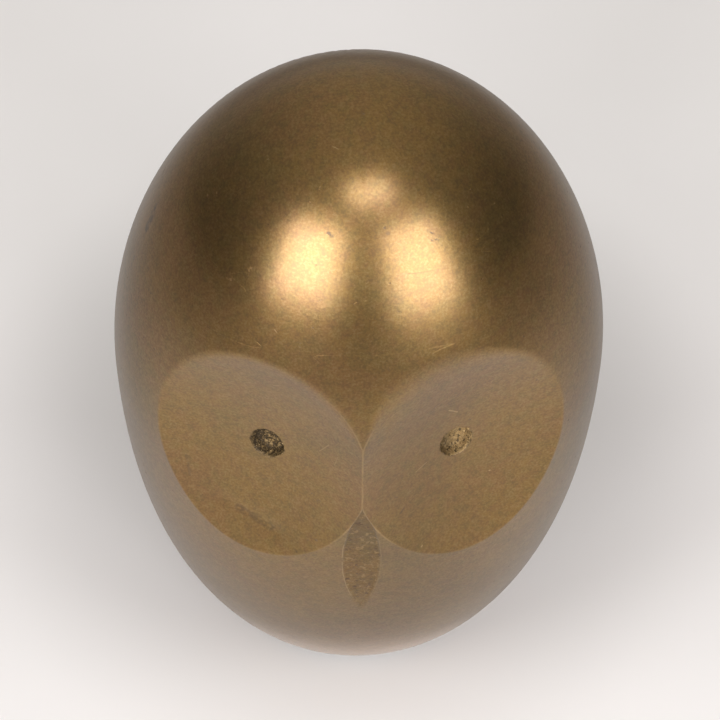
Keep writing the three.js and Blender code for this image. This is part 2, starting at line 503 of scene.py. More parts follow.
def sink_pits(tree, mesh, sizes):
    """Pushes a rough round blind hole into each eye face and marks it as "pit"."""
    for side in (-1, 1):
        normal, outward, upward = face_frame(sizes, side)
        away = from_face_middle(tree, sizes, normal)
        sideways = dot(away, outward) - sizes["Pit Outward"]
        upright = dot(away, upward) - sizes["Pit Upward"]
        wobble = noise(tree, place_of_point(tree), 850.0, 3.0, 0.6) - 0.5
        upright = upright / sizes["Pit Height"]
        around = (sideways * sideways + upright * upright).root() + wobble * (0.55 * MM)
        in_front = dot(away, normal).above(-6 * MM)
        share = (around / sizes["Pit Radius"]).rise(1.04, 0.84) * in_front
        rough = (around / sizes["Pit Radius"]).rise(1.10, 0.98) * in_front
        floor = sizes["Pit Depth"] - sizes["Pit Floor Rise"] * (around / sizes["Pit Radius"]) ** 2.0
        lumps = (noise(tree, place_of_point(tree), 1600.0, 3.0, 0.6) - 0.5) * sizes["Cast Grain"] * 4.0
        push = share * (floor + lumps)
        mesh = marked(tree, mesh, "pit_right" if side > 0 else "pit_left", rough)
        mesh = moved(tree, mesh, join(tree, *[-(part * push) for part in normal]))
    return mesh


def leaf_inset(x, z, sizes):
    """How far a front point lies inside the beak's leaf outline; negative outside it.

    x and z are measured from the belly's centre.
    """
    half_length = sizes["Beak Length"] * 0.5
    half_width = sizes["Beak Width"] * 0.5
    radius = (half_length * half_length + half_width * half_width) / (half_width * 2.0)
    drop = z + sizes["Beak Drop"]
    arcs = [((x + (radius - half_width) * way) ** 2.0 + drop ** 2.0).root() for way in (-1, 1)]
    return radius - arcs[0].at_least(arcs[1])


def press_beak(tree, mesh, sizes):
    """A shallow leaf with a rough floor, in the skin below the ridge."""
    x, y, z = split(tree, place_of_point(tree))
    z = z - sizes["Belly Level"]
    off_face = (1.0 - Field(tree, named(tree, "eye_face"))) * y.below(0.0)
    inside = leaf_inset(x, z, sizes).rise(0.0, 0.30 * MM) * off_face
    lumps = (noise(tree, place_of_point(tree), 1500.0, 3.0, 0.6) - 0.5) * sizes["Cast Grain"]
    inward = inside * (sizes["Beak Depth"] + lumps)
    reach = length([x, y, z])
    mesh = marked(tree, mesh, "beak", inside)
    return moved(tree, mesh, join(tree, *[-(part / reach * inward) for part in (x, y, z)]))


def named(tree, name):
    return add(tree, "GeometryNodeInputNamedAttribute", {"Name": name}, data_type="FLOAT").outputs[0]


# Shallow marks of use, in face coordinates: side, two ends, half width and depth.
DENTS = [
    (-1, (7.0, -8.6), (0.2, -10.9), 1.2, 0.13),
    (-1, (12.2, -2.8), (11.6, -6.0), 0.22, 0.030),
    (1, (3.2, 8.4), (1.8, 9.4), 0.16, 0.030),
]


def knock_dents(tree, mesh, sizes):
    for side, start, end, width, depth in DENTS:
        normal, outward, upward = face_frame(sizes, side)
        away = from_face_middle(tree, sizes, normal)
        across = dot(away, outward) - start[0] * MM
        up = dot(away, upward) - start[1] * MM
        run = ((end[0] - start[0]) * MM, (end[1] - start[1]) * MM)
        span = run[0] ** 2 + run[1] ** 2
        share = ((across * run[0] + up * run[1]) / span).at_least(0.0).at_most(1.0)
        gap_across = across - share * run[0]
        gap_up = up - share * run[1]
        spread = (gap_across * gap_across + gap_up * gap_up) / (width * MM) ** 2
        dip = (-spread).math("EXPONENT") * (depth * MM) * dot(away, normal).above(-4 * MM)
        mesh = moved(tree, mesh, join(tree, *[-(part * dip) for part in normal]))
    return mesh


def casting_tree(material):
    tree, sizes = new_tree("owl_casting", EGG_SIZES)
    mesh = ground_egg(tree, sizes)
    mesh = sink_pits(tree, mesh, sizes)
    mesh = press_beak(tree, mesh, sizes)
    mesh = knock_dents(tree, mesh, sizes)
    smooth = add(tree, "GeometryNodeSetShadeSmooth", {"Geometry": mesh})
    finish = add(tree, "GeometryNodeSetMaterial", {"Geometry": smooth.outputs[0], "Material": material})
    end_tree(tree, finish.outputs[0])
    return tree


# ---- Sand-cast grit ----

def grit_tree(material):
    """Small lumps scattered over the points of a mesh where a named mark is high."""
    labels = ["Density", "Smallest", "Largest", "Flatness", "Sink", "Mark Level"]
    takes = (("Casting", "NodeSocketObject"), ("Mark", "NodeSocketString"), ("Seed", "NodeSocketInt"))
    tree, given = new_tree("cast_grit", labels, takes)
    ground = add(tree, "GeometryNodeObjectInfo", {"Object": given["Casting"]})
    mark = add(tree, "GeometryNodeInputNamedAttribute", {"Name": given["Mark"]}, data_type="FLOAT")
    chosen = Field(tree, mark.outputs[0]).above(given["Mark Level"])
    strewn = add(tree, "GeometryNodeDistributePointsOnFaces", {
        "Mesh": ground.outputs["Geometry"], "Selection": chosen,
        "Density": given["Density"], "Seed": given["Seed"]})
    normals = add(tree, "ShaderNodeVectorMath", {0: strewn.outputs["Normal"]}, operation="SCALE")
    plug(tree, -given["Sink"], normals.inputs["Scale"])
    points = moved(tree, strewn.outputs["Points"], normals.outputs[0])
    lump = add(tree, "GeometryNodeMeshIcoSphere", {"Radius": 1.0, "Subdivisions": 1})
    size = add(tree, "FunctionNodeRandomValue", {
        "Min": given["Smallest"], "Max": given["Largest"], "Seed": given["Seed"]}, data_type="FLOAT")
    size = Field(tree, next(port for port in size.outputs if port.enabled))
    scale = join(tree, size, size * 0.8, size * given["Flatness"])
    placed = add(tree, "GeometryNodeInstanceOnPoints", {
        "Points": points, "Instance": lump.outputs["Mesh"],
        "Rotation": strewn.outputs["Rotation"], "Scale": scale})
    whole = add(tree, "GeometryNodeRealizeInstances", {"Geometry": placed.outputs[0]})
    finish = add(tree, "GeometryNodeSetMaterial", {
        "Geometry": whole.outputs[0], "Material": material})
    end_tree(tree, finish.outputs[0])
    return tree


# ---- Felt ----

def felt_tree(material):
    """An oval pad with softened edges, a slightly uneven cut and stray fibres on its side."""
    labels = ["Half Width", "Half Depth", "Thickness", "Unevenness", "Fibre Length"]
    tree, given = new_tree("felt_pad", labels, (("Seed", "NodeSocketInt"),))
    ball = add(tree, "GeometryNodeMeshUVSphere", {"Segments": 220, "Rings": 40, "Radius": 1.0})
    x, y, z = split(tree, place_of_point(tree))
    around = (x * x + y * y).root()
    reach = around.rise(0.0, 0.96) ** 0.5
    ragged = noise(tree, place_of_point(tree), 9.0, 4.0, 0.7) - 0.5
    width = reach + ragged * given["Unevenness"]
    half = given["Thickness"] * 0.5
    level = (z * 3.2).at_most(1.0).at_least(-1.0)
    spot = join(tree, x / around * width * given["Half Width"],
                y / around * width * given["Half Depth"], half + level * half)
    pad = add(tree, "GeometryNodeSetPosition", {
        "Geometry": ball.outputs["Mesh"], "Position": spot}).outputs[0]
    pad = add(tree, "GeometryNodeSetShadeSmooth", {"Geometry": pad}).outputs[0]
    side = split(tree, add(tree, "GeometryNodeInputNormal").outputs[0])[2]
    height = split(tree, place_of_point(tree))[2]
    strewn = add(tree, "GeometryNodeDistributePointsOnFaces", {
        "Mesh": pad, "Selection": side.absolute().below(0.6) * height.above(given["Fibre Length"]),
        "Density": 9.0e6,
        "Seed": given["Seed"]})
    hair = add(tree, "GeometryNodeMeshCone", {
        "Vertices": 3, "Radius Top": 0.0, "Radius Bottom": 0.05, "Depth": 1.0})
    turn = add(tree, "FunctionNodeRandomValue", {
        "Min": (-1.1, -1.1, 0.0), "Max": (1.1, 1.1, 6.0), "Seed": given["Seed"]},
        data_type="FLOAT_VECTOR")
    lean = add(tree, "FunctionNodeRotateRotation", {"Rotation": strewn.outputs["Rotation"]},
               rotation_space="LOCAL")
    tree.links.new(turn.outputs[0], lean.inputs["Rotate By"])
    fibres = add(tree, "GeometryNodeInstanceOnPoints", {
        "Points": strewn.outputs["Points"], "Instance": hair.outputs["Mesh"],
        "Rotation": lean.outputs[0]})
    tree.links.new(join(tree, given["Fibre Length"], given["Fibre Length"], given["Fibre Length"]),
                   fibres.inputs["Scale"])
    both = add(tree, "GeometryNodeJoinGeometry")
    for part in (pad, fibres.outputs[0]):
        tree.links.new(part, both.inputs[0])
    whole = add(tree, "GeometryNodeRealizeInstances", {"Geometry": both.outputs[0]})
    finish = add(tree, "GeometryNodeSetMaterial", {
        "Geometry": whole.outputs[0], "Material": material})
    end_tree(tree, finish.outputs[0])
    return tree


# ---- Shared shader effects ----

def new_effect(name, inputs, outputs):
    """A shader node group with a Vector input, named number inputs and number outputs."""
    tree = bpy.data.node_groups.new(name, "ShaderNodeTree")
    tree.interface.new_socket(name="Vector", in_out="INPUT", socket_type="NodeSocketVector")
    for label, value in inputs.items():
        port = tree.interface.new_socket(name=label, in_out="INPUT", socket_type="NodeSocketFloat")
        port.default_value = value
    for label in outputs:
        tree.interface.new_socket(name=label, in_out="OUTPUT", socket_type="NodeSocketFloat")
    given = tree.nodes.new("NodeGroupInput")
    fields = {label: Field(tree, given.outputs[label]) for label in inputs}
    return tree, given.outputs["Vector"], fields


def end_effect(tree, results):
    out = tree.nodes.new("NodeGroupOutput")
    for label, field in results.items():
        plug(tree, field, out.inputs[label])
    return tree


def clouds_effect():
    """Large soft patches, such as tarnish, from 0 to 1."""
    tree, spot, given = new_effect("clouds", {"Scale": 60.0, "Low": 0.4, "High": 0.6}, ["Mask"])
    value = noise(tree, spot, given["Scale"], 4.0, 0.55)
    return end_effect(tree, {"Mask": value.rise(given["Low"], given["High"])})


def grain_effect():
    """Fine surface grain as a height, and the few deep specks in it as a mask."""
    tree, spot, given = new_effect("grain", {"Scale": 3000.0, "Speck Level": 0.7},
                                   ["Height", "Specks"])
    fine = noise(tree, spot, given["Scale"], 3.0, 0.6)
    coarse = noise(tree, spot, given["Scale"] * 0.31, 2.0, 0.5)
    specks = (fine * 0.6 + coarse * 0.4).rise(given["Speck Level"], given["Speck Level"] + 0.06)
    return end_effect(tree, {"Height": fine * 0.7 + coarse * 0.3, "Specks": specks})


def scratches_effect():
    """Sparse hairlines: thin level lines of a stretched noise, kept only inside a few patches."""
    tree, spot, given = new_effect("scratches", {"Scale": 120.0, "Fineness": 0.004, "Sparse": 0.62},
                                   ["Mask"])
    field = noise(tree, spot, given["Scale"], 0.0)
    line = (field - 0.5).absolute().rise(given["Fineness"], 0.0)
    patch = noise(tree, spot, given["Scale"] * 0.45, 1.0).rise(given["Sparse"], given["Sparse"] + 0.04)
    return end_effect(tree, {"Mask": line * patch})


def wear_effect():
    """Breaks an edge mark up so that wear comes and goes along the edge."""
    tree, spot, given = new_effect("edge_wear", {"Edge": 0.0, "Scale": 400.0, "Least": 0.3},
                                   ["Mask"])
    broken = noise(tree, spot, given["Scale"], 3.0, 0.6).rise(0.35, 0.65)
    return end_effect(tree, {"Mask": given["Edge"] * (broken + given["Least"]).at_most(1.0)})


EFFECTS = {
    "clouds": clouds_effect(),
    "grain": grain_effect(),
    "scratches": scratches_effect(),
    "edge_wear": wear_effect(),
}


# ---- Materials ----

def new_material(name, roughness, metallic):
    material = bpy.data.materials.new(name)
    material.use_nodes = True
    tree = material.node_tree
    shader = tree.nodes["Principled BSDF"]
    shader.inputs["Roughness"].default_value = roughness
    shader.inputs["Metallic"].default_value = metallic
    return material, tree, shader


def object_spot(tree, stretch=(1.0, 1.0, 1.0), turn=(0.0, 0.0, 0.0)):
    """Object coordinates, turned and stretched about the origin."""
    spot = add(tree, "ShaderNodeTexCoord").outputs["Object"]
    inputs = {"Vector": spot, "Scale": stretch, "Rotation": turn}
    return add(tree, "ShaderNodeMapping", inputs).outputs[0]


def effect(tree, name, spot, output, **values):
    """A shared effect placed in a material. Underscores in value names stand for spaces."""
    node = tree.nodes.new("ShaderNodeGroup")
    node.node_tree = EFFECTS[name]
    plug(tree, spot, node.inputs["Vector"])
    for label, value in values.items():
        plug(tree, value, node.inputs[label.replace("_", " ")])
    return Field(tree, node.outputs[output])


def marks(tree, name):
    node = tree.nodes.new("ShaderNodeAttribute")
    node.attribute_name = name
    return Field(tree, node.outputs["Fac"])


def blend(tree, amount, lower, upper):
    """A colour between two colours; each is a colour value or an earlier blend."""
    node = tree.nodes.new("ShaderNodeMix")
    node.data_type = "RGBA"
    plug(tree, amount, node.inputs[0])
    plug(tree, lower, node.inputs[6])
    plug(tree, upper, node.inputs[7])
    return node.outputs[2]


def bump(tree, height, strength, distance, under=None):
    inputs = {"Height": height, "Strength": strength, "Distance": distance}
    node = add(tree, "ShaderNodeBump", inputs)
    if under is not None:
        tree.links.new(under, node.inputs["Normal"])
    return node.outputs[0]


BRONZE_GOLD = (0.335, 0.198, 0.052, 1.0)
BRONZE_RED = (0.310, 0.167, 0.058, 1.0)
BRONZE_GREEN = (0.268, 0.182, 0.052, 1.0)
BRONZE_WORN = (0.560, 0.380, 0.170, 1.0)
# Painted shade: the dimmer patch between the eye faces, above the beak.
BEAK_TOP_SHADE_GREY = (0.170, 0.145, 0.090, 1.0)
# Dark tarnish; also the colour of the painted shade along the dent on the left face.
TARNISH_AND_DENT_SHADE = (0.110, 0.072, 0.040, 1.0)
TARNISH_RED = (0.120, 0.062, 0.034, 1.0)
SAND_SKIN = (0.092, 0.064, 0.032, 1.0)
SAND_FLECK = (0.430, 0.300, 0.135, 1.0)
# Painted shade in the eye pits, on their sides towards -X.
PIT_SHADE_DARK = (0.030, 0.022, 0.014, 1.0)
LATHE_RINGS = 16000.0           # the tool rings' waves, in radians per metre of radius

# Small marks, in millimetres from the belly's centre: start, end, half width, strength.
LIGHT_SCRATCHES = [
    ((-10.7, -17.7, 29.4), (-9.0, -18.6, 27.6), 0.07, 0.8),
    ((-3.4, -5.8, 44.9), (-2.6, -6.2, 44.7), 0.10, 0.7),
    ((-13.2, -8.2, 38.6), (-12.0, -8.0, 39.6), 0.08, 0.4),
    ((-9.6, -19.4, 26.4), (-9.5, -19.4, 26.3), 0.12, 0.8),
]
DARK_SMUDGES = [
    ((-24.3, -2.2, 26.6), (-23.5, -1.2, 29.6), 0.90, 0.75),
    ((-26.4, -3.0, 21.2), (-26.0, -2.8, 22.4), 0.45, 0.45),
    ((2.6, -13.3, 39.1), (2.7, -13.3, 39.1), 0.35, 0.35),
    ((10.3, -22.6, -20.3), (10.3, -22.6, -20.2), 0.16, 0.6),
]

# The same on the eye faces, in face coordinates, with the side first.
FACE_LIGHT_SCRATCHES = [
    (1, (2.4, 8.9), (1.3, 9.9), 0.14, 0.75),
    (1, (-3.0, 0.6), (-1.6, 1.5), 0.12, 0.40),
    (1, (6.4, -3.9), (6.5, -3.9), 0.14, 0.9),
    (1, (-3.4, -11.8), (-3.3, -11.7), 0.16, 0.7),
    (-1, (-4.4, 5.6), (-5.6, 7.6), 0.08, 0.45),
    (-1, (-6.4, 4.2), (-6.8, 6.0), 0.07, 0.35),
    (-1, (1.2, 15.6), (0.2, 16.4), 0.10, 0.40),
]
FACE_DARK_SCRATCHES_AND_DENT_SHADE = [
    (1, (-5.6, -5.2), (-4.6, -4.2), 0.16, 0.5),
    (1, (10.7, 4.2), (11.7, 4.6), 0.10, 0.5),
    (-1, (12.2, -2.8), (11.6, -6.0), 0.26, 0.35),
    (-1, (-2.9, -12.7), (-2.8, -12.6), 0.14, 0.7),
    # Painted shade: a wide dark arc along the dent on the left face.
    (-1, (5.2, -9.3), (1.0, -10.6), 0.85, 0.42),
]


def fixed_face_frame(side):
    """The face's normal, outward and upward directions as plain vectors."""
    turn, lift = FACE_TURN, FACE_LIFT
    normal = Vector((side * math.sin(turn) * math.cos(lift), -math.cos(turn) * math.cos(lift),
                     math.sin(lift)))
    outward = Vector((side * math.cos(turn), math.sin(turn), 0.0))
    upward = Vector((-side * math.sin(turn) * math.sin(lift), math.cos(turn) * math.sin(lift),
                     math.cos(lift)))
    return normal, outward, upward


def on_face(side, place):
    """A place in face coordinates (mm), in millimetres from the belly's centre."""
    normal, outward, upward = fixed_face_frame(side)
    sag = (place[0] ** 2 + place[1] ** 2) * MM / (2 * DISH_RADIUS)
    return normal * (FACE_DISTANCE / MM + sag) + outward * place[0] + upward * place[1]


def streaks(tree, spot, lines):
    """Mask of short straight marks. Each is a start, an end, a half width and a strength."""
    total = None
    for start, end, width, strength in lines:
        run = Vector(end) - Vector(start)
        away = [part - place * MM for part, place in zip(spot, start)]
        along = dot(away, run * (1 / (run.length_squared * MM))).at_least(0.0).at_most(1.0)
        gap = [part - along * (step * MM) for part, step in zip(away, run)]
        mask = length(gap).rise(width * MM, width * MM * 0.35) * strength
        total = mask if total is None else total.at_least(mask)
    return total


def face_lines(lines):
    return [(on_face(side, start), on_face(side, end), width, strength)
            for side, start, end, width, strength in lines]


def pit_side_shade(tree, x):
    """How much painted shade darkens an eye pit: most of it sits on the side towards -X."""
    middle = on_face(1, (PIT_OUTWARD / MM, PIT_UPWARD / MM)).x * MM
    from_middle = x - pick(x.above(0.0), middle, -middle)
    return from_middle.rise(0.4 * MM, -1.5 * MM) * 0.48


def satin_bronze():
    """Brushed bronze under a thin clear wax, rough where the sand skin was left."""
    material, tree, shader = new_material("satin_bronze", 0.3, 1.0)
    spot = object_spot(tree)
    x, y, z = split(tree, spot)
    z = z - BELLY_LEVEL
    reddish = effect(tree, "clouds", spot, "Mask", Scale=75.0, Low=0.42, High=0.66)
    greenish = effect(tree, "clouds", object_spot(tree, turn=(0.9, 0.4, 0.2)), "Mask",
                      Scale=110.0, Low=0.50, High=0.72)
    dull = effect(tree, "clouds", object_spot(tree, turn=(0.2, 1.1, 0.7)), "Mask",
                  Scale=36.0, Low=0.52, High=0.70)
    fine_red = effect(tree, "clouds", object_spot(tree, turn=(1.3, 0.4, 0.1)), "Mask",
                      Scale=620.0, Low=0.42, High=0.62)
    fine_green = effect(tree, "clouds", object_spot(tree, turn=(0.3, 0.1, 1.9)), "Mask",
                        Scale=780.0, Low=0.44, High=0.64)
    height = effect(tree, "grain", spot, "Height", Scale=2600.0)
    specks = effect(tree, "grain", spot, "Specks", Scale=1400.0, Speck_Level=0.64)
    hairlines = effect(tree, "scratches", object_spot(tree, (1.0, 3.0, 9.0), (0.5, 0.3, 0.9)),
                       "Mask", Scale=70.0, Fineness=0.004, Sparse=0.60)
    broken = noise(tree, spot, 900.0, 3.0, 0.6)
    scratched = streaks(tree, (x, y, z), LIGHT_SCRATCHES + face_lines(FACE_LIGHT_SCRATCHES))
    smudges_and_dent_shade = streaks(tree, (x, y, z), DARK_SMUDGES + face_lines(FACE_DARK_SCRATCHES_AND_DENT_SHADE))
    smudges_and_dent_shade = smudges_and_dent_shade * broken.rise(0.36, 0.56)
    pits = marks(tree, "pit_left").at_least(marks(tree, "pit_right"))
    edge = effect(tree, "edge_wear", spot, "Mask", Edge=marks(tree, "worn_edge"), Scale=300.0, Least=0.5)
    rough_skin = noise(tree, spot, 2400.0, 4.0, 0.7)
    speckle = effect(tree, "grain", spot, "Height", Scale=3400.0)

    off_face = (1.0 - marks(tree, "eye_face")) * y.below(0.0)
    inset = leaf_inset(x, z, EGG_SIZES) + (broken - 0.5) * (0.25 * MM)
    leaf = inset.rise(0.0, 0.25 * MM) * off_face * (z.rise(-24 * MM, -17 * MM) * 0.7 + 0.3)
    outline = (inset / (0.09 * MM)).absolute().rise(1.0, 0.2) * off_face * broken.rise(0.36, 0.50)
    outline = outline * (x.rise(0.5 * MM, -0.5 * MM) * 0.65 + 0.35)
    outline = outline * z.rise(-20.5 * MM, -17.5 * MM) * z.rise(-3.5 * MM, -5.5 * MM)
    # Painted shade: a dimmer patch above the beak, between the eye faces.
    painted_shade = inset.rise(-0.6 * MM, 0.6 * MM) * off_face * (z + broken * (3 * MM)).rise(-8 * MM, -2 * MM)
    stipple = noise(tree, spot, 1300.0, 3.0, 0.7)
    pores = stipple.rise(0.56, 0.68).at_least(noise(tree, spot, 900.0, 1.0).rise(0.68, 0.72))

    colour = blend(tree, reddish * 0.7, BRONZE_GOLD, BRONZE_RED)
    colour = blend(tree, greenish * 0.6, colour, BRONZE_GREEN)
    colour = blend(tree, fine_red * 0.45, colour, BRONZE_RED)
    colour = blend(tree, fine_green * 0.48, colour, BRONZE_GREEN)
    colour = blend(tree, speckle.rise(0.48, 0.62) * 0.30, colour, TARNISH_AND_DENT_SHADE)
    colour = blend(tree, speckle.rise(0.50, 0.36) * 0.22, colour, BRONZE_WORN)
    colour = blend(tree, (dull * 0.24).at_least(specks * 0.55), colour, TARNISH_AND_DENT_SHADE)
    # The painted shade above the beak.
    colour = blend(tree, painted_shade * 0.4, colour, BEAK_TOP_SHADE_GREY)
    colour = blend(tree, leaf * (pores * 0.62 + 0.12), colour, TARNISH_RED)
    colour = blend(tree, leaf * stipple.rise(0.44, 0.34) * 0.50, colour, BRONZE_WORN)
    # Dark smudges and scratches, and the painted shade along the dent on the left face.
    colour = blend(tree, smudges_and_dent_shade, colour, TARNISH_AND_DENT_SHADE)
    worn = (edge * 0.55).at_least(outline * 0.6).at_least(hairlines * 0.25).at_least(scratched)
    colour = blend(tree, worn, colour, BRONZE_WORN)
    # Light flecks in the sand skin; the right pit gets more of them, which is painted light.
    rubbed_and_lit = (rough_skin + marks(tree, "pit_right") * 0.10).rise(0.46, 0.64)
    skin = blend(tree, rubbed_and_lit, SAND_SKIN, SAND_FLECK)
    # Painted shade on the side of each pit towards -X.
    skin = blend(tree, pit_side_shade(tree, x), skin, PIT_SHADE_DARK)
    colour = blend(tree, pits, colour, skin)
    tree.links.new(colour, shader.inputs["Base Color"])

    roughness = height * 0.10 + dull * 0.04 + 0.245
    roughness = roughness + specks * 0.2 + leaf * 0.08 + scratched * 0.15 - edge * 0.04
    roughness = (roughness + pits * 0.35).at_most(0.75)
    plug(tree, roughness, shader.inputs["Roughness"])
    plug(tree, (1.0 - pits * 0.35 - specks * 0.3).at_least(0.0), shader.inputs["Metallic"])

    waves = noise(tree, spot, 420.0, 2.0, 0.5)
    normal = bump(tree, waves, 0.10, 0.06 * MM)
    normal = bump(tree, height - specks * 0.8 - hairlines * 0.6, 0.22, 0.06 * MM, normal)
    crust = rough_skin * pits + stipple * leaf * 0.4 + outline * 0.1
    normal = bump(tree, crust, 0.6, 0.25 * MM, normal)
    tree.links.new(normal, shader.inputs["Normal"])
    plug(tree, (0.9 - leaf * 0.45 - pits * 0.8).at_least(0.0), shader.inputs["Coat Weight"])
    shader.inputs["Coat Roughness"].default_value = 0.25
    shader.inputs["Coat IOR"].default_value = 1.5
    return material


def cast_grit(name, rubbed_back_and_lit):
    """Loose-looking sand skin: dark lumps, some of them rubbed back to bronze. The second argument sets
    how many lumps are light, and a higher one is painted light. The pit's side towards -X gets painted
    shade.
    """
    material, tree, shader = new_material(name, 0.6, 0.7)
    spot = object_spot(tree)
    low = 0.56 - rubbed_back_and_lit * 0.2
    rubbed_and_lit = effect(tree, "clouds", spot, "Mask", Scale=2100.0, Low=low, High=low + 0.16)
    height = effect(tree, "grain", spot, "Height", Scale=6000.0)
    colour = blend(tree, rubbed_and_lit, SAND_SKIN, SAND_FLECK)
    # Painted shade on the pit's side towards -X.
    colour = blend(tree, pit_side_shade(tree, split(tree, spot)[0]), colour, PIT_SHADE_DARK)
    tree.links.new(colour, shader.inputs["Base Color"])
    plug(tree, 0.7 - rubbed_and_lit * 0.25, shader.inputs["Roughness"])
    tree.links.new(bump(tree, height, 0.4, 0.05 * MM), shader.inputs["Normal"])
    return material


def turned_brass():
    """Brass disc with the fine rings that a lathe tool leaves."""
    material, tree, shader = new_material("turned_brass", 0.35, 1.0)
    spot = object_spot(tree)
    x, y, _ = split(tree, spot)
    rings = ((x * x + y * y).root() * LATHE_RINGS).sine()
    dull = effect(tree, "clouds", spot, "Mask", Scale=140.0, Low=0.45, High=0.65)
    colour = blend(tree, dull * 0.6, (0.47, 0.33, 0.13, 1.0), (0.26, 0.17, 0.08, 1.0))
    tree.links.new(colour, shader.inputs["Base Color"])
    plug(tree, dull * 0.15 + 0.3, shader.inputs["Roughness"])
    tree.links.new(bump(tree, rings, 0.3, 0.02 * MM), shader.inputs["Normal"])
    return material


def wool_felt():
    """Pressed wool: matted fibres in two tones, with a soft sheen."""
    material, tree, shader = new_material("wool_felt", 0.95, 0.0)
    spot = object_spot(tree)
    across = noise(tree, object_spot(tree, (1.0, 5.0, 5.0), (0.2, 0.1, 0.6)), 2200.0, 2.0)
    along = noise(tree, object_spot(tree, (5.0, 1.0, 5.0), (0.4, 0.3, 0.2)), 2200.0, 2.0)
    fibres = across.at_least(along)
    tufts = effect(tree, "clouds", spot, "Mask", Scale=500.0, Low=0.35, High=0.65)
    colour = blend(tree, tufts, (0.020, 0.030, 0.020, 1.0), (0.036, 0.052, 0.034, 1.0))
    colour = blend(tree, fibres.rise(0.54, 0.72), colour, (0.080, 0.100, 0.070, 1.0))
    tree.links.new(colour, shader.inputs["Base Color"])
    tree.links.new(bump(tree, fibres + tufts * 0.3, 0.8, 0.2 * MM), shader.inputs["Normal"])
    shader.inputs["Sheen Weight"].default_value = 0.4
    shader.inputs["Sheen Roughness"].default_value = 0.5
    return material


# The paper has two sets of tones: one that is seen, and a darker one for what the bronze reflects, which
# stands in for the dark surroundings of a small table studio. That second set is painted light and
# shade: lighter in front of the owl and close round its foot.
BLACK = (0.0, 0.0, 0.0, 1.0)
PAPER_TONES = ((0.86, 0.85, 0.845, 1.0), (0.89, 0.88, 0.875, 1.0))
MIRRORED_NEAR = ((0.44, 0.43, 0.42, 1.0), (0.67, 0.65, 0.63, 1.0))      # behind, in front
MIRRORED_FAR = ((0.30, 0.27, 0.24, 1.0), (0.20, 0.18, 0.16, 1.0))
MIRRORED_RING = (0.47, 0.455, 0.44, 1.0)
MIRRORED_FOOT = (0.80, 0.755, 0.73, 1.0)
PAINTED_SHADE_BEHIND = 0.025            # the middle of the painted soft shadow behind the owl
PAINTED_SHADE_DEPTH = 0.20
PAINTED_FAR_DIMMING = 0.22              # painted shade of the seen paper, far in front of the owl


def table_paper():
    """White seamless paper, very slightly uneven, with a painted shadow round a point behind the owl and
    painted dimming far in front of it.
    """
    material, tree, shader = new_material("table_paper", 0.75, 0.0)
    uneven = effect(tree, "clouds", object_spot(tree), "Mask", Scale=9.0, Low=0.3, High=0.7)
    paper = blend(tree, uneven, *PAPER_TONES)
    x, y, _ = split(tree, object_spot(tree))
    seen = Field(tree, add(tree, "ShaderNodeLightPath").outputs["Is Camera Ray"])
    reach = (x * x + y * y).root()
    far_off = reach.rise(0.05, 0.28)
    in_front = (-y).rise(-0.02, 0.05)
    # What the bronze reflects: painted light and shade, lighter in front and close round the foot.
    nearby = blend(tree, in_front, *MIRRORED_NEAR)
    nearby = blend(tree, reach.rise(0.065, 0.025), nearby, MIRRORED_RING)
    nearby = blend(tree, reach.rise(0.023, 0.016), nearby, MIRRORED_FOOT)
    distant = blend(tree, in_front, *MIRRORED_FAR)
    mirrored = blend(tree, far_off, nearby, distant)
    # Painted shade on the seen paper: a soft shadow round a point behind the owl, and dimming far in
    # front of it.
    from_shade = (x * x + (y - PAINTED_SHADE_BEHIND) ** 2.0).root()
    painted_dimming = from_shade.rise(0.062, 0.035) * PAINTED_SHADE_DEPTH
    painted_dimming = painted_dimming + reach.rise(0.12, 0.35) * (-y).rise(0.0, 0.2) * PAINTED_FAR_DIMMING
    painted_shade = blend(tree, painted_dimming, paper, BLACK)
    colour = blend(tree, seen, mirrored, painted_shade)
    tree.links.new(colour, shader.inputs["Base Color"])
    return material


# ---- Pieces ----

def ride_and_replace(piece, slot, *nodes):
    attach(piece, "root")
    if nodes:
        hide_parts(*nodes)


def make_owl():
    bronze = satin_bronze()
    casting = grow("bronze_casting", casting_tree(bronze), EGG_SIZES, bronze)
    pieces = [casting]
    # The last number in each row sets how many grit lumps are light; the right pit's higher one is
    # painted light.
    for name, mark, seed, rubbed_back_and_lit in (("left_eye_grit", "pit_left", 3, 0.5),
                                          ("right_eye_grit", "pit_right", 8, 1.2)):
        grit = cast_grit(name, rubbed_back_and_lit)
        values = {
            "Casting": casting, "Mark": mark, "Seed": seed, "Density": 1.1e7, "Mark Level": 0.8,
            "Smallest": 0.05 * MM, "Largest": 0.17 * MM, "Flatness": 0.8, "Sink": 0.02 * MM,
        }
        pieces.append(grow(name, grit_tree(grit), values, grit))
    beak_values = {
        "Casting": casting, "Mark": "beak", "Seed": 5, "Density": 3.0e6, "Mark Level": 0.8,
        "Smallest": 0.05 * MM, "Largest": 0.13 * MM, "Flatness": 0.30, "Sink": 0.02 * MM,
    }
    pieces.append(grow("beak_grit", grit_tree(bronze), beak_values, bronze))
    ride_and_replace(casting, "bronze", "body_casting")
    for piece in pieces[1:]:
        ride_and_replace(piece, "bronze")


def make_felt():
    low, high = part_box("felt_pad")
    felt = wool_felt()
    values = {
        "Half Width": high.x - 0.4 * MM, "Half Depth": high.y - 0.4 * MM,
        "Thickness": high.z - low.z,
        "Unevenness": 0.02, "Fibre Length": 0.5 * MM, "Seed": 4,
    }
    pad = grow("wool_felt_pad", felt_tree(felt), values, felt)
    ride_and_replace(pad, "felt", "felt_pad")


def finish_base_disc():
    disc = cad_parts["base_disc"]
    disc.data.materials.clear()
    disc.data.materials.append(turned_brass())


# ---- Studio ----

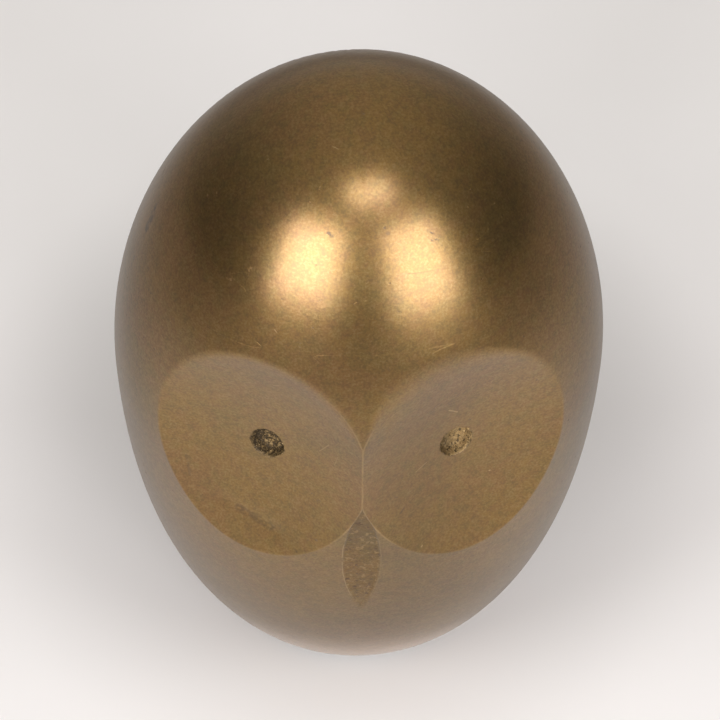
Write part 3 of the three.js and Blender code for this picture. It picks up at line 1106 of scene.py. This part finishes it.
VIEW_TURN = math.radians(-1.5)      # the camera's place round the owl, from straight ahead
VIEW_LIFT = math.radians(54.0)
VIEW_DISTANCE = 10 * HALF_WIDTH
VIEW_ROLL = math.radians(0.67)
LENS = 121.1
LIGHT_AIM = Vector((0.0, 0.0, BELLY_LEVEL + 0.7 * CROWN_HEIGHT))


def from_owl(turn, lift):
    """Unit direction from the owl: turn is round from straight ahead towards +X."""
    level = math.cos(lift)
    return Vector((math.sin(turn) * level, -math.cos(turn) * level, math.sin(lift)))


def make_camera():
    lens = bpy.data.cameras.new("camera")
    lens.lens = LENS
    lens.clip_start = 0.01
    lens.shift_x = 0.0019
    lens.shift_y = -0.0182
    camera = bpy.data.objects.new("camera", lens)
    bpy.context.scene.collection.objects.link(camera)
    back = from_owl(VIEW_TURN, VIEW_LIFT)
    camera.location = Vector((0.0, 0.0, BELLY_LEVEL)) + back * VIEW_DISTANCE
    aim = (-back).to_track_quat("-Z", "Y").to_matrix()
    camera.rotation_euler = (aim @ Euler((0.0, 0.0, VIEW_ROLL)).to_matrix()).to_euler()
    bpy.context.scene.camera = camera


def make_softbox(name, turn, lift, size, radiance, distance=0.9, mirrored=True):
    """A flat light aimed at the head. Its power follows from its size, so the radiance is fixed.

    One that is not mirrored lights the paper only and leaves no reflection in the bronze.
    """
    lamp = bpy.data.lights.new(name, "AREA")
    lamp.shape = "RECTANGLE"
    lamp.size, lamp.size_y = size
    lamp.energy = radiance * math.pi * size[0] * size[1]
    lamp.color = (1.0, 0.97, 1.0) if mirrored else (1.0, 1.0, 1.0)
    box = bpy.data.objects.new(name, lamp)
    bpy.context.scene.collection.objects.link(box)
    way = from_owl(math.radians(turn), math.radians(lift))
    box.location = LIGHT_AIM + way * distance
    box.rotation_euler = way.to_track_quat("Z", "Y").to_euler()
    box.visible_glossy = mirrored


ROOM_GLOW = 0.10                # everywhere; the next two come on top
OVERHEAD_GLOW = 0.37
BEHIND_GLOW = 0.27
BACKDROP_GLOW = 0.78            # what is seen past the table's edge
BACKDROP_FALL = 0.17            # how much dimmer the backdrop gets towards the back


def make_room():
    """A dim warm room: dark at both sides, lighter overhead and behind. Seen directly, it is pale."""
    world = bpy.data.worlds.new("room")
    world.use_nodes = True
    tree = world.node_tree
    _, y, z = split(tree, add(tree, "ShaderNodeTexCoord").outputs["Generated"])
    overhead = z.at_least(0.0) ** 1.6 * OVERHEAD_GLOW
    behind = y.at_least(0.0) ** 2.0 * BEHIND_GLOW
    glow = overhead + behind + ROOM_GLOW
    room = tree.nodes["Background"]
    seen = Field(tree, add(tree, "ShaderNodeLightPath").outputs["Is Camera Ray"])
    tint = blend(tree, seen, (1.0, 0.93, 0.84, 1.0), (1.0, 0.98, 0.97, 1.0))
    tree.links.new(tint, room.inputs["Color"])
    plug(tree, pick(seen, BACKDROP_GLOW - y * BACKDROP_FALL, glow), room.inputs["Strength"])
    bpy.context.scene.world = world


def make_table():
    mesh = bpy.data.meshes.new("table")
    reach, sides = 0.75, 96
    rim = [(reach * math.cos(2 * math.pi * i / sides), reach * math.sin(2 * math.pi * i / sides), 0.0)
           for i in range(sides)]
    mesh.from_pydata(rim, [], [list(range(sides))])
    mesh.materials.append(table_paper())
    table = bpy.data.objects.new("table", mesh)
    bpy.context.scene.collection.objects.link(table)


def make_studio():
    make_camera()
    make_room()
    make_table()
    make_softbox("left_softbox", -25.5, 17, (0.45, 0.46), 6.0)
    make_softbox("right_softbox", 28, 15, (0.44, 0.52), 5.0)
    make_softbox("top_softbox", 8, 51, (0.36, 0.20), 4.6)
    make_softbox("left_paper_light", -68, 24, (0.5, 0.5), 4.8, mirrored=False)
    make_softbox("right_paper_light", 68, 24, (0.5, 0.5), 4.2, mirrored=False)
    bpy.context.scene.view_settings.view_transform = "Standard"


make_studio()
make_owl()
make_felt()
finish_base_disc()
